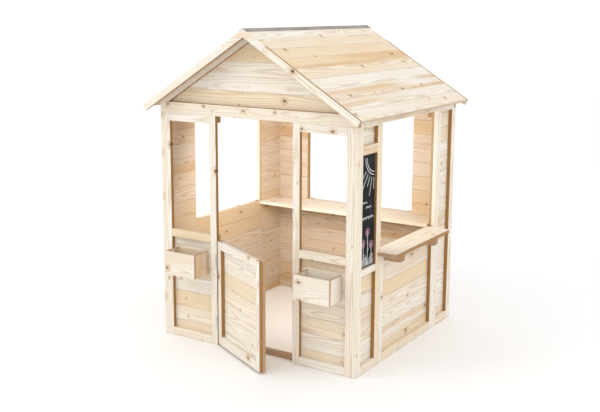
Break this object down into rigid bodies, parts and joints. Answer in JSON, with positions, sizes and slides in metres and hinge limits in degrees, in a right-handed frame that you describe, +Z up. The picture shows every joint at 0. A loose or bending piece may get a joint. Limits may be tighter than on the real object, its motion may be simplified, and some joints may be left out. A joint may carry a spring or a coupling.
{
  "type": "timber playhouse",
  "caption": "Child's timber playhouse with framed plank panels, a gabled plank roof, a hinged half door, window openings, a serving counter, a blackboard and two flower boxes.",
  "frame": {"origin": "on the floor, under the middle of the whole object's box with the door standing ajar", "axes": "+Z up from the floor to the ridge; -Y is the front with the door, +Y the back; +X is the side with the serving counter and the blackboard, to the right when the house is seen from the front"},
  "size_m": [1.174, 1.196, 1.45],
  "materials": {
    "planks": "bare planed softwood plank with small knots",
    "battens": "bare planed softwood batten",
    "chalkboard": "matt black chalkboard paint on a thin board",
    "ridge_metal": "plain grey folded strip",
    "zinc": "zinc-plated steel"
  },
  "bodies": {
    "house": {"back_apex_piece": "battens", "back_barge_boards": "battens", "back_gable_planks": "planks", "back_gable_rafters": "battens", "back_header": "battens", "back_left_frame": "battens", "back_left_planks": "planks", "back_middle_frame": "battens", "back_middle_planks": "planks", "back_right_frame": "battens", "back_right_planks": "planks", "blackboard": "chalkboard", "corner_screws": "zinc", "counter_board": "planks", "counter_brackets": "battens", "front_apex_piece": "battens", "front_barge_boards": "battens", "front_gable_planks": "planks", "front_gable_rafters": "battens", "front_header": "battens", "front_left_frame": "battens", "front_left_planks": "planks", "front_right_frame": "battens", "front_right_planks": "planks", "header_screws": "zinc", "hinge_pins": "zinc", "hinge_post_leaves": "zinc", "inner_shelf": "planks", "joint_blocks": "battens", "left_back_frame": "battens", "left_back_planks": "planks", "left_front_frame": "battens", "left_front_planks": "planks", "left_header": "battens", "left_middle_frame": "battens", "left_middle_planks": "planks", "left_planter": "planks", "ridge_cap": "ridge_metal", "right_back_frame": "battens", "right_back_planks": "planks", "right_front_frame": "battens", "right_front_planks": "planks", "right_header": "battens", "right_middle_frame": "battens", "right_middle_planks": "planks", "right_planter": "planks", "roof_left_battens": "battens", "roof_left_planks": "planks", "roof_right_battens": "battens", "roof_right_planks": "planks", "shelf_cleats": "battens", "threshold_bar": "battens"},
    "door": {"door_frame": "battens", "door_planks": "planks", "hinge_door_leaves": "zinc"}
  },
  "joints": [
    {"name": "door_hinge", "type": "hinge", "parent": "house", "child": "door", "pos_m": [-0.224, -0.41902, 0.252], "axis": [0, 0, -1], "range_deg": [-27, 78]}
  ]
}
